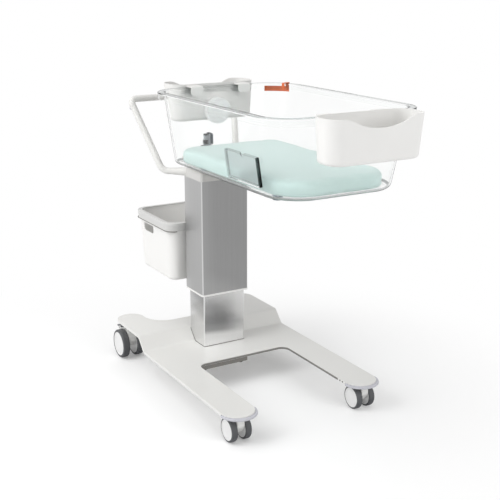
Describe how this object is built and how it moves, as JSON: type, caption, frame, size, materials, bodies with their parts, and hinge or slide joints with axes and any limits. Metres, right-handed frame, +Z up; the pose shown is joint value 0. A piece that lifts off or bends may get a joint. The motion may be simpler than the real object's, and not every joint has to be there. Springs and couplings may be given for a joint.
{
  "type": "hospital bassinet",
  "caption": "Mobile hospital bassinet: clear basin with mattress and trays on a tilting cradle, telescopic column, removable bin and U-shaped base on swivel casters.",
  "frame": {"origin": "on the floor, under the middle of the column", "axes": "+Z up, +X from the push handle at the head end to the foot end, +Y to the left of whoever pushes"},
  "size_m": [1.2343, 0.554, 0.974],
  "materials": {
    "powder_coat": "satin powder coat",
    "column_steel": "brushed",
    "inner_steel": "polished",
    "bracket_steel": "plain",
    "strut_steel": "polished",
    "strut_black": "gloss black",
    "under_frame": "matt grey",
    "white_plastic": "smooth",
    "collar_grey": "smooth",
    "guide_plastic": "slippery",
    "bumper_grey": "matt",
    "basin_clear": "clear moulded plastic",
    "feet_clear": "translucent grey",
    "card_clear": "clear sheet",
    "mattress_mint": "wipe-clean cover",
    "lever_blue_grey": "matt",
    "clip_orange": "gloss",
    "caster_grey": "smooth",
    "hub_white": "gloss",
    "tread_grey": "matt",
    "axle_steel": "plain",
    "pedal_grey": "matt"
  },
  "bodies": {
    "base": {"base_plate": "powder_coat", "cross_beam": "under_frame", "leg_rails": "under_frame", "leg_bumper_right": "bumper_grey", "leg_bumper_left": "bumper_grey", "inner_column": "inner_steel", "column_glides": "guide_plastic", "column_foot": "bracket_steel", "column_bolts": "strut_steel", "lift_strut_cylinder": "strut_black", "caster_mounts": "bracket_steel"},
    "lift": {"outer_column": "column_steel", "column_ring": "white_plastic", "column_cap": "white_plastic", "lift_strut_rod": "strut_steel", "push_handle": "powder_coat", "handle_bumpers": "bumper_grey", "tilt_yoke": "powder_coat", "tilt_pin": "strut_steel", "lever_bracket": "bracket_steel", "lever_pin": "strut_steel", "bin_hanger": "bracket_steel"},
    "cradle": {"cradle": "powder_coat", "basin": "basin_clear", "basin_feet": "feet_clear", "mattress": "mattress_mint", "head_tray": "white_plastic", "foot_tray": "white_plastic", "tray_spacer": "white_plastic", "card_holder": "card_clear", "corner_clip": "clip_orange"},
    "lever": {"release_lever": "lever_blue_grey"},
    "bin": {"bin_collar": "collar_grey", "bin_shell": "white_plastic"},
    "front_right_caster": {"front_right_caster_body": "caster_grey", "front_right_caster_axle": "axle_steel"},
    "front_right_outer_wheel": {"front_right_outer_hub": "hub_white", "front_right_outer_tyre": "tread_grey"},
    "front_right_inner_wheel": {"front_right_inner_hub": "hub_white", "front_right_inner_tyre": "tread_grey"},
    "front_left_caster": {"front_left_caster_body": "caster_grey", "front_left_caster_axle": "axle_steel"},
    "front_left_outer_wheel": {"front_left_outer_hub": "hub_white", "front_left_outer_tyre": "tread_grey"},
    "front_left_inner_wheel": {"front_left_inner_hub": "hub_white", "front_left_inner_tyre": "tread_grey"},
    "front_left_pedal": {"front_left_brake_pedal": "pedal_grey"},
    "rear_right_caster": {"rear_right_caster_body": "caster_grey", "rear_right_caster_axle": "axle_steel"},
    "rear_right_outer_wheel": {"rear_right_outer_hub": "hub_white", "rear_right_outer_tyre": "tread_grey"},
    "rear_right_inner_wheel": {"rear_right_inner_hub": "hub_white", "rear_right_inner_tyre": "tread_grey"},
    "rear_right_pedal": {"rear_right_brake_pedal": "pedal_grey"},
    "rear_left_caster": {"rear_left_caster_body": "caster_grey", "rear_left_caster_axle": "axle_steel"},
    "rear_left_outer_wheel": {"rear_left_outer_hub": "hub_white", "rear_left_outer_tyre": "tread_grey"},
    "rear_left_inner_wheel": {"rear_left_inner_hub": "hub_white", "rear_left_inner_tyre": "tread_grey"}
  },
  "joints": [
    {"name": "column_lift", "type": "slide", "parent": "base", "child": "lift", "axis": [0, 0, 1], "range_m": [-0.125, 0.13]},
    {"name": "basin_tilt", "type": "hinge", "parent": "lift", "child": "cradle", "pos_m": [0, 0, 0.716], "axis": [0, 1, 0], "range_deg": [-12, 12]},
    {"name": "lever_pull", "type": "hinge", "parent": "lift", "child": "lever", "pos_m": [-0.0555, 0, 0.758], "axis": [0, 1, 0], "range_deg": [-25, 0], "stiffness_Nm_per_rad": 0.2, "springref_deg": 2.86},
    {"name": "bin_lift_off", "type": "slide", "parent": "lift", "child": "bin", "axis": [0, 0, 1], "range_m": [0, 0.04]},
    {"name": "front_right_swivel", "type": "hinge", "parent": "base", "child": "front_right_caster", "pos_m": [0.541, -0.222, 0.0375], "axis": [0, 0, 1], "continuous": true},
    {"name": "front_right_outer_spin", "type": "hinge", "parent": "front_right_caster", "child": "front_right_outer_wheel", "pos_m": [0.527, -0.222, 0.0375], "axis": [0, 1, 0], "continuous": true},
    {"name": "front_right_inner_spin", "type": "hinge", "parent": "front_right_caster", "child": "front_right_inner_wheel", "pos_m": [0.527, -0.222, 0.0375], "axis": [0, 1, 0], "continuous": true},
    {"name": "front_left_swivel", "type": "hinge", "parent": "base", "child": "front_left_caster", "pos_m": [0.541, 0.222, 0.0375], "axis": [0, 0, 1], "continuous": true},
    {"name": "front_left_outer_spin", "type": "hinge", "parent": "front_left_caster", "child": "front_left_outer_wheel", "pos_m": [0.527, 0.222, 0.0375], "axis": [0, 1, 0], "continuous": true},
    {"name": "front_left_inner_spin", "type": "hinge", "parent": "front_left_caster", "child": "front_left_inner_wheel", "pos_m": [0.527, 0.222, 0.0375], "axis": [0, 1, 0], "continuous": true},
    {"name": "front_left_brake", "type": "hinge", "parent": "front_left_caster", "child": "front_left_pedal", "pos_m": [0.49647, 0.222, 0.07389], "axis": [0, 1, 0], "range_deg": [-15, 0]},
    {"name": "rear_right_swivel", "type": "hinge", "parent": "base", "child": "rear_right_caster", "pos_m": [-0.214, -0.236, 0.05], "axis": [0, 0, 1], "continuous": true},
    {"name": "rear_right_outer_spin", "type": "hinge", "parent": "rear_right_caster", "child": "rear_right_outer_wheel", "pos_m": [-0.228, -0.236, 0.05], "axis": [0, 1, 0], "continuous": true},
    {"name": "rear_right_inner_spin", "type": "hinge", "parent": "rear_right_caster", "child": "rear_right_inner_wheel", "pos_m": [-0.228, -0.236, 0.05], "axis": [0, 1, 0], "continuous": true},
    {"name": "rear_right_brake", "type": "hinge", "parent": "rear_right_caster", "child": "rear_right_pedal", "pos_m": [-0.26657, -0.236, 0.09596], "axis": [0, 1, 0], "range_deg": [-15, 0]},
    {"name": "rear_left_swivel", "type": "hinge", "parent": "base", "child": "rear_left_caster", "pos_m": [-0.214, 0.236, 0.05], "axis": [0, 0, 1], "continuous": true},
    {"name": "rear_left_outer_spin", "type": "hinge", "parent": "rear_left_caster", "child": "rear_left_outer_wheel", "pos_m": [-0.228, 0.236, 0.05], "axis": [0, 1, 0], "continuous": true},
    {"name": "rear_left_inner_spin", "type": "hinge", "parent": "rear_left_caster", "child": "rear_left_inner_wheel", "pos_m": [-0.228, 0.236, 0.05], "axis": [0, 1, 0], "continuous": true}
  ]
}
